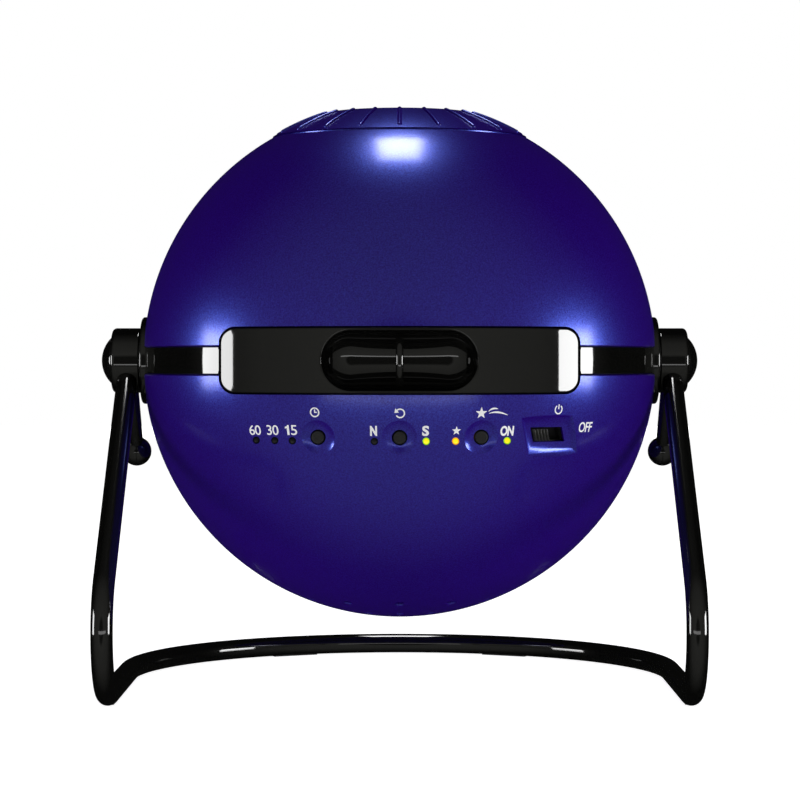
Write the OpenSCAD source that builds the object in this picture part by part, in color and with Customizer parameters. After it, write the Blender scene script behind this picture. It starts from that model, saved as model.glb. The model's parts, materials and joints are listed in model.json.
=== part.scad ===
// Home planetarium projector: a ball with the lens at its top, a disc tray that pulls out at its
// equator, and a bent-rod stand that the ball tilts in.
// Millimetres. The floor is z = 0, +Z is up and the front, with the tray and the keys, faces -Y.

/* [Ball] */
// Outer radius of the ball
ball_r = 71.5; // [70:0.5:73]
// Wall of the two shells
wall = 2.2; // [1.8:0.1:2.6]
// Height of the black band round the equator
band_h = 7.6; // [7.5:0.1:8.2]
// Height of the tilt axis above the floor
axis_h = 90; // [89:0.5:96]

/* [Stand] */
// Diameter of the bent rod
rod_d = 5.75; // [5:0.05:6]
// Distance from the middle plane to each leg
leg_x = 75.8; // [75.5:0.1:76]
// Slope of the legs below horizontal, in degrees
leg_drop = 40.8; // [39:0.1:43]
// Radius of the bend at the front of each leg
bend_r = 17.4; // [14:0.2:20]
// How far the rubber feet stand out under the rod
pad_proud = 0.15; // [0.1:0.05:0.5]

/* [Disc tray] */
// Width of the tray's front plate
plate_w = 93.8; // [90:0.2:96]
// Height of the tray's front plate
plate_h = 17; // [16:0.2:18]
// Width of the finger recess
grip_w = 40; // [36:0.5:44]
// Height of the finger recess
grip_h = 15.3; // [14:0.1:15.6]
// Radius of the star disc
disc_r = 29; // [28:0.5:29]
// Teeth of the ring that turns the disc
ring_teeth = 64; // [64:4:64]
// Teeth of the motor's pinion
pinion_teeth = 12; // [12:1:12]

/* [Focus] */
// Outer radius of the focus ring
focus_r = 34.4; // [34:0.1:34.6]
// Number of grip ribs on the focus ring
rib_count = 18; // [9:1:24]
// Turn of the focus ring each way, in degrees
focus_turn = 30; // [20:1:32]
// Travel of the lens barrel each way
focus_travel = 2.5; // [1.5:0.1:2.6]

/* [Keys] */
// Latitude of the row of keys, in degrees
key_lat = -16; // [-17:0.1:-15.5]
// Diameter of each push button
button_d = 3.8; // [3.5:0.05:4.2]
// Diameter of the dish around each button
dish_d = 9.1; // [8:0.1:10]

/* [Hidden] */
$fn = 64;

gap = 0.3;
black = [0.02, 0.02, 0.02];
blue = [0.09, 0.07, 0.42];
steel = [0.75, 0.75, 0.78];
clear = [0.8, 0.85, 0.9];
green = [0.05, 0.25, 0.1];

// Stand, all from the tilt axis
rod_r = rod_d / 2;
rod_z = pad_proud + rod_r;
bend_drop = axis_h - rod_z - bend_r;
bend_ahead = (bend_drop * cos(leg_drop) - bend_r) / sin(leg_drop);
leg_length = bend_ahead * cos(leg_drop) + bend_drop * sin(leg_drop);
front_reach = bend_ahead + bend_r + rod_r;
rear_reach = leg_x + rod_r;
axis_y = (front_reach - rear_reach) / 2;
rod_start = 5;
weld_proud = 0.02;
pad_length = 14;
pad_width = 2.2;
seat_depth = 0.5;
seat_length = pad_length + 0.2;
seat_width = 6;
front_pad_y = -45;
rear_pad_turn = 25;

// Hubs
boss_r = 12.15;
boss_face = 72;
hub_in = boss_face + gap;
hub_out = 80.3;
hub_r = 9.05;
hub_edge = 1.2;
cap_r = 6.6;
cap_out = 83.4;
shaft_r = 2.5;
shaft_in = 58.6;
shaft_head_r = 4;
shaft_head = 1.2;
run = 0.05;
arm_drop = 48.9;
arm_reach = 34.7;
arm_r = 2;
arm_knob_r = 4.2;
arm_start = 5.5;
cap_edge = 2.6;
cap_flange = 0.9;
clip_x = shaft_in + 1;
clip_slack = 0.1;

// Ball
inner_r = ball_r - wall;
band = band_h / 2;
ring_in = 62;
deck_half = 44;
rail_in = deck_half + gap;
rail_out = rail_in + 3;
rail_z = 4.2;
rail_front = -48;
rail_back = 40;
plate_thick = 3;
plate_corner = 4;
vent_r = 1.15;
vent_rings = [23.1, 13.9];
vent_count = 12;
well_lat = -50;
well_lons = [120, 180, -120];
well_r = 3.4;
well_depth = 12;
inlet_lat = -20;
inlet_r = 3.2;
track_out = 37.5;
track_low = 57.2;
track_top = 59.4;
guide_r = 3.6;
chassis_r = 57;
chassis_back = 56;
chassis_depth = 96;
chassis_t = 2;
screw_y = 30;

// Focus
focus_proud = 0.55;
focus_sphere = ball_r + focus_proud;
rim_r = 20.3;
skirt_out = 30.2;
skirt_in = 27.6;
skirt_z = 52.5;
pin_z = 57;
pin_r = 1.15;
groove_r = 1.45;
groove_out = 29.4;
groove_step = 2.5;
barrel_r = 18.1;
flange_z = track_top + 0.4;
focus_top = 75;
dome_z = 63.5;
rib_r = 0.8;
rib_sink = 0.35;
rib_low_r = 33;
rib_high_r = rim_r + 1.2;
holder_top = 51;
holder_foot_r = 26;
bridge_hole_r = 20.5;
pin_tip = groove_out - 0.4;
guide_key = 1.3;
lens_r = 15.8;
lamp_z = -41.8;
meteor_z = 13;
meteor_r = 4;
meteor_bore = 3;
meteor_turn = 30;

// Tray and disc
deck_z = -3.4;
deck_top = -1.4;
deck_back = 46;
grip_depth = 9.5;
grip_wall = 1.2;
fin_w = 2;
tooth = 1;
gear_slack = 0.15;
pinion_y = tooth * (ring_teeth + pinion_teeth) / 2 + gear_slack;
rotor_low = -1;
rotor_top = 1.6;
rotor_in = 27.5;
light_r = 26;
film_t = 0.6;

// Keys
key_y = cos(key_lat) * ball_r;
key_z = sin(key_lat) * ball_r;
button_lons = [-17.75, 0, 17.75];
dish_depth = 0.95;
dish_curve = 1.3;
board_y = -49.6;
board_t = 1.6;
stem_end = -52.4;
guide_end = -53.6;
lamp_r = 0.875;
lamp_lat = -16.8;
dark_lons = [-32.9, -28.1, -23.8, -5.4];
lit_lons = [5.7, 12.1, 23.9];
switch_lon = 35;
slot_w = 10.4;
slot_h = 4;
slot_lean = 24;
recess_w = 21.6;
recess_h = 13.3;
recess_depth = 1.7;
recess_rise = 0.8;
knob_w = 5;
knob_play = 0.35;
knob_z = ball_r - 2.6;
knob_h = 3.2;

module at_ball() { translate([0, axis_y, axis_h]) children(); }

// Turns +Z to the outward normal at a longitude, 0 at the front and positive to +X, and a latitude
module radial(lon, lat) { rotate([0, 0, lon]) rotate([90 - lat, 0, 0]) children(); }

// Turns +Z to +X
module sideways() { rotate([0, 90, 0]) children(); }

// Turns +Z to the front
module forwards() { rotate([90, 0, 0]) children(); }

module both_sides() {
    children();
    mirror([1, 0, 0]) children();
}

module tube(r_out, r_in, z0, z1) {
    translate([0, 0, z0]) difference() {
        cylinder(r = r_out, h = z1 - z0);
        translate([0, 0, -1]) cylinder(r = r_in, h = z1 - z0 + 2);
    }
}

module box(low, high) { translate(low) cube(high - low); }

module rounded_outline(w, h, r) {
    square([w - 2 * r, h], center = true);
    square([w, h - 2 * r], center = true);
    for (x = [-1, 1], y = [-1, 1]) translate([x * (w / 2 - r), y * (h / 2 - r)]) circle(r);
}

// A rounded block that runs along Y, seen from the front as w by h
module front_block(w, h, r, y0, y1) {
    translate([0, y1, 0]) forwards() linear_extrude(y1 - y0) rounded_outline(w, h, r);
}

module stadium_block(w, h, y0, y1) {
    translate([0, y1, 0]) forwards() linear_extrude(y1 - y0) {
        square([w - h, h], center = true);
        for (x = [-1, 1]) translate([x * (w - h) / 2, 0]) circle(h / 2);
    }
}

// ---- Stand ----

module rod_arc(r, turn, thick) { rotate_extrude(angle = turn) translate([r, 0]) circle(thick); }

// One side of the rod from the hub to where the rear curve starts, with a weld where lengths meet
module rod_side(thick) {
    weld = thick + weld_proud;
    translate([leg_x, 0, 0]) rotate([90 + leg_drop, 0, 0]) {
        translate([0, 0, rod_start]) cylinder(r = thick, h = leg_length - rod_start);
        translate([0, 0, leg_length]) sphere(weld);
    }
    translate([leg_x, -bend_ahead, -bend_drop]) sideways()
        rotate([0, 0, leg_drop - 180]) rod_arc(bend_r, 180 - leg_drop, thick);
    translate([leg_x, -bend_ahead, rod_z - axis_h]) sphere(weld);
    translate([leg_x, 0, rod_z - axis_h]) {
        forwards() cylinder(r = thick, h = bend_ahead);
        sphere(weld);
    }
}

// The four places on the rod's underside where it stands, with +Y along the rod
module foot_places() {
    translate([0, 0, -axis_h]) both_sides() {
        translate([leg_x, front_pad_y, 0]) children();
        rotate([0, 0, 90 + rear_pad_turn]) translate([leg_x, 0, 0]) children();
    }
}

// Bent round rod with a flat milled in its underside for each rubber foot
module stand_rod() {
    color(black) at_ball() difference() {
        union() {
            both_sides() rod_side(rod_r);
            translate([0, 0, rod_z - axis_h]) rod_arc(leg_x, 180, rod_r);
        }
        foot_places() translate([0, 0, pad_proud + seat_depth - 1])
            cube([seat_width, seat_length, 2], center = true);
    }
}

module foot_pads() {
    pad_h = pad_proud + seat_depth - run;
    color(black) at_ball() foot_places() translate([0, 0, pad_h / 2])
        cube([pad_width, pad_length, pad_h], center = true);
}

// Turns +Z from the tilt axis to the rear arm's knob
module along_arm() { translate([leg_x, 0, 0]) rotate([-90 - arm_drop, 0, 0]) children(); }

module hub() {
    difference() {
        sideways() rotate_extrude() {
            square([hub_r - hub_edge, hub_out]);
            translate([0, hub_in]) square([hub_r, hub_out - hub_in - hub_edge]);
            translate([hub_r - hub_edge, hub_out - hub_edge]) circle(hub_edge);
        }
        box([0, -20, -20], [hub_in, 20, 20]);
        sideways() cylinder(r = shaft_r + run, h = 100);
        rod_side(rod_r + run);
        along_arm() translate([0, 0, arm_start - run]) cylinder(r = arm_r + run, h = arm_reach);
    }
}

// Domed cap over the head of the pivot shaft
module hub_cap() {
    difference() {
        sideways() rotate_extrude() {
            translate([0, hub_out]) square([cap_r, cap_flange]);
            intersection() {
                translate([0, hub_out]) square([cap_r, cap_out - hub_out]);
                translate([cap_r - cap_edge, cap_out - cap_edge]) circle(cap_edge);
            }
            translate([0, hub_out]) square([cap_r - cap_edge, cap_out - hub_out]);
        }
        sideways() translate([0, 0, hub_out - 1])
            cylinder(r = shaft_head_r + gap, h = 1 + shaft_head + gap);
    }
}

module rear_arm() { along_arm() translate([0, 0, arm_start]) cylinder(r = arm_r, h = arm_reach - arm_start); }

module arm_knob() {
    difference() {
        along_arm() translate([0, 0, arm_reach]) sphere(arm_knob_r);
        along_arm() cylinder(r = arm_r + run, h = arm_reach + run);
    }
}

module hub_left() { color(black) at_ball() mirror([1, 0, 0]) hub(); }
module hub_right() { color(black) at_ball() hub(); }
module hub_cap_left() { color(black) at_ball() mirror([1, 0, 0]) hub_cap(); }
module hub_cap_right() { color(black) at_ball() hub_cap(); }
module rear_arm_left() { color(black) at_ball() mirror([1, 0, 0]) rear_arm(); }
module rear_arm_right() { color(black) at_ball() rear_arm(); }
module arm_knob_left() { color(black) at_ball() mirror([1, 0, 0]) arm_knob(); }
module arm_knob_right() { color(black) at_ball() arm_knob(); }

// Headed shafts that run in the ball's bosses, with a groove for the clip
module pivot_shafts() {
    color(steel) at_ball() both_sides() difference() {
        sideways() {
            translate([0, 0, shaft_in]) cylinder(r = shaft_r, h = hub_out - shaft_in);
            translate([0, 0, hub_out]) cylinder(r = shaft_head_r, h = shaft_head);
        }
        sideways() tube(shaft_r + 1, shaft_r - 0.7, clip_x, clip_x + 1);
    }
}

module friction_washers() {
    color(steel) at_ball() both_sides() sideways()
        tube(hub_r - 1, shaft_r + gap, boss_face + 0.02, hub_in - 0.02);
}

module retaining_clips() {
    color(steel) at_ball() both_sides() difference() {
        sideways() tube(shaft_r + 2, shaft_r - 0.6, clip_x + clip_slack, clip_x + 1 - clip_slack);
        box([50, -1.6, -10], [65, 1.6, 0]);
    }
}

// ---- Ball: shells and frame ----

module plate_opening(y1) {
    front_block(plate_w + 2 * gap, plate_h + 2 * gap, plate_corner + gap, -ball_r - 5, y1);
}

module boss_holes() { both_sides() sideways() translate([0, 0, 50]) cylinder(r = boss_r + gap, h = 30); }

module top_shell() {
    color(blue) at_ball() difference() {
        union() {
            difference() {
                sphere(ball_r);
                sphere(inner_r);
                translate([0, 0, -ball_r - 1]) cylinder(r = ball_r + 1, h = ball_r + 1 + band);
                translate([0, 0, 30]) cylinder(r = focus_r + gap, h = ball_r);
            }
            tube(track_out, skirt_out + gap, track_low, track_top);
        }
        plate_opening(rail_front);
        boss_holes();
    }
}

// A bar along Y with sloping sides, wide at z = rise and narrow at z = -depth
module sloped_bar(wide, narrow, rise, depth, length) {
    rotate([90, 0, 0]) linear_extrude(length, center = true)
        polygon([[-wide / 2, rise], [wide / 2, rise], [narrow / 2, -depth], [-narrow / 2, -depth]]);
}

// A slanting block: w measured across, h upwards, its two ends leaning by slot_lean
module leaning_block(w, h, thick) {
    intersection() {
        cube([w + h, h, thick], center = true);
        rotate([0, 0, slot_lean]) cube([w * cos(slot_lean), 2 * h, thick], center = true);
    }
}

// Slanting recess whose four sides run down to the slot at its bottom
module power_recess() {
    radial(switch_lon, key_lat) translate([0, 0, ball_r]) {
        intersection() {
            rotate([0, 0, slot_lean]) sloped_bar(recess_w * cos(slot_lean), slot_w * cos(slot_lean),
                recess_rise, recess_depth, 30);
            rotate([0, 0, 90]) sloped_bar(recess_h, slot_h, recess_rise, recess_depth, 40);
        }
        leaning_block(slot_w, slot_h, 12);
    }
}

// Dish round a button: a flat floor whose side curves up to the ball's surface
module dish() {
    floor_r = dish_d / 2 - dish_curve;
    rotate_extrude() {
        square([floor_r, 5]);
        translate([floor_r, dish_curve]) circle(dish_curve);
        translate([0, dish_curve]) square([floor_r + dish_curve, 5]);
    }
}

module button_place(lon) {
    translate([sin(lon) * key_y, 0, key_z]) children();
}

module bottom_shell() {
    color(blue) at_ball() difference() {
        union() {
            difference() {
                sphere(ball_r);
                sphere(inner_r);
                translate([0, 0, -band]) cylinder(r = ball_r + 1, h = 2 * ball_r);
            }
            intersection() {
                sphere(inner_r + 1);
                union() {
                    for (lon = button_lons) button_place(lon)
                        translate([0, guide_end, 0]) forwards() cylinder(r = guide_r, h = 18);
                    for (lon = well_lons) radial(lon, well_lat) translate([0, 0, inner_r - well_depth])
                        cylinder(r = well_r + 1.4, h = well_depth + 1);
                    radial(180, inlet_lat) translate([0, 0, inner_r - 3]) cylinder(r = 2 * inlet_r, h = 4);
                    radial(switch_lon, key_lat) translate([0, 0, inner_r])
                        cube([17, 11, 1.8], center = true);
                }
            }
        }
        plate_opening(rail_front);
        boss_holes();
        for (lon = button_lons) {
            radial(lon, key_lat) translate([0, 0, ball_r - dish_depth]) dish();
            button_place(lon) translate([0, -50, 0]) forwards() cylinder(d = button_d + gap, h = 30);
        }
        for (lon = concat(dark_lons, lit_lons))
            translate([sin(lon) * cos(lamp_lat) * ball_r, -40, sin(lamp_lat) * ball_r]) forwards()
                cylinder(r = lamp_r + 0.1, h = 40);
        power_recess();
        for (polar = vent_rings, i = [0:vent_count - 1])
            radial(i * 360 / vent_count, polar - 90) translate([0, 0, inner_r - 5])
                cylinder(r = vent_r, h = 10);
        for (lon = well_lons) radial(lon, well_lat) {
            translate([0, 0, inner_r - well_depth + 2]) cylinder(r = well_r, h = 20);
            translate([0, 0, inner_r - well_depth - 1]) cylinder(r = 1.7, h = 10);
        }
        radial(180, inlet_lat) translate([0, 0, inner_r - 5]) cylinder(r = inlet_r + 1, h = 10);
    }
}

// Black ring between the shells, with the tray's rails and the bosses that the ball tilts on
module mid_frame() {
    color(black) at_ball() difference() {
        union() {
            difference() {
                intersection() {
                    sphere(ball_r - 0.15);
                    translate([0, 0, -band + 0.15]) cylinder(r = ball_r, h = band_h - gap);
                }
                translate([0, 0, -band]) cylinder(r = ring_in, h = band_h);
            }
            both_sides() {
                sideways() translate([0, 0, ring_in - 1]) cylinder(r = boss_r, h = boss_face - ring_in + 1);
                box([rail_in, rail_front, -rail_z], [rail_out, rail_back, rail_z]);
            }
        }
        plate_opening(rail_front);
        box([-rail_in, -60, -10], [rail_in, 0, 10]);
        both_sides() sideways() translate([0, 0, 50]) cylinder(r = shaft_r + run, h = 30);
    }
}

module chassis_outline() {
    intersection() {
        circle(chassis_r);
        translate([-chassis_r, chassis_back - chassis_depth]) square([2 * chassis_r, chassis_depth]);
    }
}

module chassis_plate() {
    color(black) at_ball() difference() {
        translate([0, 0, -rail_z - chassis_t]) linear_extrude(chassis_t) chassis_outline();
        cylinder(r = light_r, h = 50, center = true);
        translate([0, pinion_y, -10]) cylinder(r = 3, h = 20);
    }
}

module lens_bridge() {
    color(black) at_ball() difference() {
        translate([0, 0, rail_z]) linear_extrude(chassis_t) chassis_outline();
        cylinder(r = bridge_hole_r, h = 50, center = true);
    }
}

module lens_holder() {
    color(black) at_ball() difference() {
        union() {
            tube(barrel_r + 2.1, barrel_r + 0.08, rail_z + chassis_t, holder_top);
            tube(holder_foot_r, barrel_r + 0.08, rail_z + chassis_t, rail_z + 2 * chassis_t);
        }
        box([-guide_key - gap, 10, 22], [guide_key + gap, 25, holder_top + 1]);
        // Window for the meteor lamp
        rotate([0, 0, meteor_turn]) translate([-25, 0, meteor_z]) sideways()
            cylinder(r = meteor_bore, h = 10);
    }
}

module chassis_screws() {
    color(steel) at_ball() for (x = [-1, 1], y = [-screw_y, screw_y])
        translate([x * (rail_in + rail_out) / 2, y, rail_z + chassis_t]) {
        cylinder(r = 1.4, h = 1);
        cylinder(r1 = 1.4, r2 = 1, h = 1.5);
    }
}

module shell_screws() {
    color(steel) at_ball() for (lon = well_lons)
        radial(lon, well_lat) translate([0, 0, inner_r - well_depth]) difference() {
            union() {
                translate([0, 0, 2]) cylinder(r = 2.8, h = 2);
                translate([0, 0, -8]) cylinder(r = 1.5, h = 10);
            }
            for (a = [0, 90]) rotate([0, 0, a]) translate([0, 0, 4]) cube([3.4, 0.6, 1.4], center = true);
        }
}

// ---- Ball: lamp ----

module heat_sink() {
    color(steel) at_ball() difference() {
        translate([0, 0, lamp_z - 14.2]) cylinder(r = 16, h = 11.6);
        for (x = [-15:5:15]) box([x - 1.5, -20, lamp_z - 18], [x + 1.5, 20, lamp_z - 5.6]);
    }
}

module lamp_board() {
    color("white") at_ball() translate([0, 0, lamp_z - 2.6]) cylinder(r = 10, h = 1.6, $fn = 6);
}

module lamp_led() {
    color(clear) at_ball() {
        translate([0, 0, lamp_z - 1]) cylinder(r = 3.5, h = 1);
        intersection() {
            translate([0, 0, lamp_z]) sphere(2.6);
            translate([0, 0, lamp_z - 0.2]) cylinder(r = 3, h = 4);
        }
    }
}

module condenser_holder() {
    color(black) at_ball() rotate_extrude()
        polygon([[16, lamp_z - 2.6], [17.5, lamp_z - 2.6], [17.5, -24], [25.6, -19],
            [25.6, -rail_z - chassis_t], [24.2, -rail_z - chassis_t], [24.2, -18.2], [16, -23.4]]);
}

// Bulging lens: a cap of a sphere over a round edge
module lens(r, edge, bulge, z) {
    lens_sphere = (r * r + bulge * bulge) / (2 * bulge);
    translate([0, 0, z]) cylinder(r = r, h = edge);
    intersection() {
        translate([0, 0, z + edge + bulge - lens_sphere]) sphere(lens_sphere, $fn = 200);
        translate([0, 0, z + edge / 2]) cylinder(r = r, h = bulge + edge);
    }
}

module condenser_lens_small() { color(clear) at_ball() lens(lens_r, 2, 4, -33); }
module condenser_lens_large() { color(clear) at_ball() lens(24, 2, 5, -16); }

// Lamp tube on a foot, which throws the meteor streak through the lens holder's window
module meteor_lamp() {
    color(black) at_ball() rotate([0, 0, meteor_turn]) difference() {
        union() {
            translate([-34, 0, meteor_z]) sideways() cylinder(r = meteor_r, h = 13);
            box([-33, -3, rail_z + chassis_t], [-holder_foot_r - gap, 3, meteor_z]);
        }
        translate([-31, 0, meteor_z]) sideways() cylinder(r = meteor_bore, h = 20);
    }
}

// ---- Ball: disc drive, board, switch and inlet ----

module motor() {
    color(steel) at_ball() translate([0, pinion_y, 0]) difference() {
        union() {
            translate([0, 0, -26]) cylinder(r = 8, h = 14);
            translate([0, 0, -12]) cylinder(r = 9.5, h = 5.8);
        }
        translate([0, 0, -8.8]) cylinder(r = 1 + run, h = 10);
    }
}

module control_board() {
    color(green) at_ball() box([-38.6, board_y, -27.4], [29.6, board_y + board_t, -12]);
}

module tact_switches() {
    color(steel) at_ball() for (lon = button_lons) button_place(lon) {
        translate([0, board_y - 0.8, 0]) cube([6, 1.6, 6], center = true);
        translate([0, board_y - 1.6, 0]) forwards() cylinder(r = 1.2, h = 0.4);
    }
}

module lamps(lons) {
    at_ball() intersection() {
        for (lon = lons) translate([sin(lon) * cos(lamp_lat) * ball_r, board_y, sin(lamp_lat) * ball_r])
            forwards() cylinder(r = lamp_r, h = 30);
        sphere(ball_r - 0.1);
    }
}

module lamps_lit() { color([0.95, 0.8, 0.05]) lamps(lit_lons); }
module lamps_dark() { color(black) lamps(dark_lons); }

module power_switch() {
    color(black) at_ball() radial(switch_lon, key_lat) translate([0, 0, inner_r - 6.6]) difference() {
        translate([0, 0, 2.9]) cube([slot_w + 3.4, 7.4, 5], center = true);
        translate([0, 0, 5.4]) leaning_block(slot_w, slot_h, 4);
    }
}

module power_inlet() {
    color(black) at_ball() radial(180, inlet_lat) {
        difference() {
            translate([0, 0, inner_r - 11]) cylinder(r = inlet_r + 0.8, h = 12.4);
            translate([0, 0, inner_r - 9]) cylinder(r = 2.75, h = 20);
        }
        translate([0, 0, inner_r - 9.5]) cylinder(r = 1, h = 9);
    }
}

// ---- Focus ring and lens ----

module focus_rib() {
    from = acos(rib_low_r / focus_sphere);
    to = acos(rib_high_r / focus_sphere);
    rotate([90, 0, 0]) rotate([0, 0, from]) rotate_extrude(angle = to - from)
        translate([focus_sphere - rib_sink, 0]) circle(rib_r);
    for (a = [from, to]) rotate([0, -a, 0]) translate([focus_sphere - rib_sink, 0, 0]) sphere(rib_r);
}

module focus_ring() {
    color(blue) at_ball() difference() {
        union() {
            intersection() {
                sphere(focus_sphere);
                rotate_extrude() polygon([[rim_r, focus_top], [focus_r, focus_top], [focus_r, flange_z],
                    [skirt_out, flange_z], [skirt_out, skirt_z], [skirt_in, skirt_z], [skirt_in, dome_z],
                    [19, dome_z], [19, dome_z + 2.9], [rim_r, dome_z + 4.1]]);
            }
            for (i = [0:rib_count - 1]) rotate([0, 0, i * 360 / rib_count - 90]) focus_rib();
        }
        // Helical groove for each of the barrel's three pins
        for (pin = [0:2], turn = [-focus_turn:groove_step:focus_turn])
            rotate([0, 0, pin * 120 - turn]) translate([25, 0, pin_z + focus_travel * turn / focus_turn])
                sideways() cylinder(r = groove_r, h = groove_out - 25);
    }
}

module lens_barrel() {
    color(black) at_ball() {
        tube(barrel_r, 16, 20, 62);
        tube(16.5, 14.6, 56.4, 57.4);
        tube(16.5, 14.6, 40, 41);
        tube(16.5, 14.6, 22, 23);
        for (pin = [0:2]) rotate([0, 0, pin * 120]) translate([17, 0, pin_z]) sideways()
            cylinder(r = pin_r, h = pin_tip - 17);
        box([-guide_key, barrel_r - 0.6, 30], [guide_key, barrel_r + 1.6, 46]);
    }
}

module front_lens() { color(clear) at_ball() lens(lens_r, 1.6, 3, 57.4); }
module middle_lens() { color(clear) at_ball() lens(lens_r, 2, 3, 41); }
module rear_lens() { color(clear) at_ball() lens(lens_r, 2, 3, 23); }
module lens_retainer() { color(black) at_ball() tube(15.9, 14.4, 60.6, 61.8); }

// ---- Disc tray ----

module tray_front() {
    color(black) at_ball() difference() {
        union() {
            intersection() {
                front_block(plate_w, plate_h, plate_corner, -ball_r - 5, -40);
                difference() {
                    sphere(ball_r);
                    sphere(ball_r - plate_thick);
                }
            }
            intersection() {
                sphere(ball_r);
                stadium_block(grip_w + 2 * grip_wall, plate_h - 0.2, -ball_r,
                    -ball_r + grip_depth + grip_wall);
            }
        }
        difference() {
            stadium_block(grip_w, grip_h, -ball_r - 5, -ball_r + grip_depth);
            intersection() {
                box([-fin_w / 2, -ball_r, -10], [fin_w / 2, 0, 10]);
                sphere(ball_r - 0.6);
            }
        }
    }
}

module disc_tray() {
    color(black) at_ball() difference() {
        intersection() {
            union() {
                box([-deck_half, -68, deck_z], [deck_half, deck_back, deck_top]);
                both_sides() box([deck_half - 2, -68, deck_z], [deck_half, deck_back, 3]);
                tube(rotor_in - 0.1, light_r, deck_z, 0.4);
            }
            sphere(ball_r - plate_thick - 0.1);
            translate([0, 0, -10]) cylinder(r = 61.5, h = 20);
        }
        translate([0, 0, -10]) cylinder(r = light_r, h = 20);
        box([-grip_w / 2 - 2, -80, -10], [grip_w / 2 + 2, -ball_r + grip_depth + grip_wall + 0.1, 10]);
        box([-2, pinion_y - 2.5, -10], [2, 60, 10]);
    }
}

// Involute gear outline, with teeth a little thin so that they run free
module gear_outline(teeth, thin) {
    pitch = tooth * teeth / 2;
    base = pitch * cos(20);
    outer = pitch + 0.9 * tooth;
    root = pitch - 1.25 * tooth;
    half = 90 / teeth - thin / pitch * 90 / PI + (tan(20) - 20 * PI / 180) * 180 / PI;
    start = max(base, root);
    flank = [for (i = [0:4]) let (r = start + (outer - start) * i / 4, a = acos(base / r),
        turn = half - (tan(a) * 180 / PI - a)) [r * cos(turn), r * sin(turn)]];
    polygon([for (t = [0:teeth - 1]) let (mid = t * 360 / teeth) each concat(
        [[root * cos(mid - half), root * sin(mid - half)]],
        [for (p = flank) [p[0] * cos(mid) + p[1] * sin(mid), p[0] * sin(mid) - p[1] * cos(mid)]],
        [for (i = [4:-1:0]) [flank[i][0] * cos(mid) - flank[i][1] * sin(mid),
            flank[i][0] * sin(mid) + flank[i][1] * cos(mid)]],
        [[root * cos(mid + half), root * sin(mid + half)]])]);
}

module disc_rotor() {
    color("white") at_ball() difference() {
        translate([0, 0, rotor_low]) linear_extrude(rotor_top - rotor_low)
            rotate([0, 0, 90]) gear_outline(ring_teeth, 0.2);
        cylinder(r = rotor_in, h = 20, center = true);
    }
}

module star_disc() {
    color([0.1, 0.1, 0.12]) at_ball() translate([0, 0, rotor_top]) cylinder(r = disc_r, h = film_t);
}

module disc_clamp() {
    color(black) at_ball() tube(disc_r, light_r, rotor_top + film_t, rotor_top + 2 * film_t);
}

module drive_pinion() {
    color("white") at_ball() translate([0, pinion_y, 0]) {
        translate([0, 0, rotor_low]) linear_extrude(rotor_top - rotor_low)
            rotate([0, 0, 90 + 180 / pinion_teeth]) gear_outline(pinion_teeth, 0.2);
        translate([0, 0, -8.7]) cylinder(r = 1, h = 8.7 + rotor_top + 0.5);
    }
}

// ---- Keys ----

module push_button(lon) {
    // Where the dish's floor lies in front of the button's middle
    dish_bottom = (ball_r - dish_depth) * cos(key_lat) * cos(lon);
    at_ball() button_place(lon) translate([0, stem_end, 0]) forwards() {
        cylinder(d = button_d, h = dish_bottom + stem_end + 0.2);
        cylinder(r = 3, h = 1);
    }
}

module timer_button() { color(black) push_button(button_lons[0]); }
module move_button() { color(black) push_button(button_lons[1]); }
module meteor_button() { color(black) push_button(button_lons[2]); }

module power_knob() {
    color(black) at_ball() radial(switch_lon, key_lat)
        translate([(knob_w - slot_w) / 2 + knob_play, 0, knob_z]) difference() {
            leaning_block(knob_w, slot_h - 2 * knob_play, knob_h);
            for (i = [-1.5:1:1.5]) translate([i, 0, knob_h / 2]) rotate([0, 0, slot_lean])
                cube([0.4, 2 * slot_h, 0.8], center = true);
        }
}

stand_rod();
foot_pads();
hub_left();
hub_right();
hub_cap_left();
hub_cap_right();
rear_arm_left();
rear_arm_right();
arm_knob_left();
arm_knob_right();
pivot_shafts();
friction_washers();
retaining_clips();
top_shell();
bottom_shell();
mid_frame();
chassis_plate();
lens_bridge();
lens_holder();
heat_sink();
lamp_board();
lamp_led();
condenser_holder();
condenser_lens_small();
condenser_lens_large();
meteor_lamp();
motor();
control_board();
tact_switches();
lamps_lit();
lamps_dark();
power_switch();
power_inlet();
shell_screws();
chassis_screws();
focus_ring();
lens_barrel();
front_lens();
middle_lens();
rear_lens();
lens_retainer();
tray_front();
disc_tray();
disc_rotor();
star_disc();
disc_clamp();
drive_pinion();
timer_button();
move_button();
meteor_button();
power_knob();
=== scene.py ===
# Home planetarium projector: an indigo ball with a lens at its top and a black disc tray at its
# equator, in a bent-rod stand. The sections follow the object as it is put together.
import json
import math

import bmesh
import bpy
from mathutils import Matrix, Vector


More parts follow.
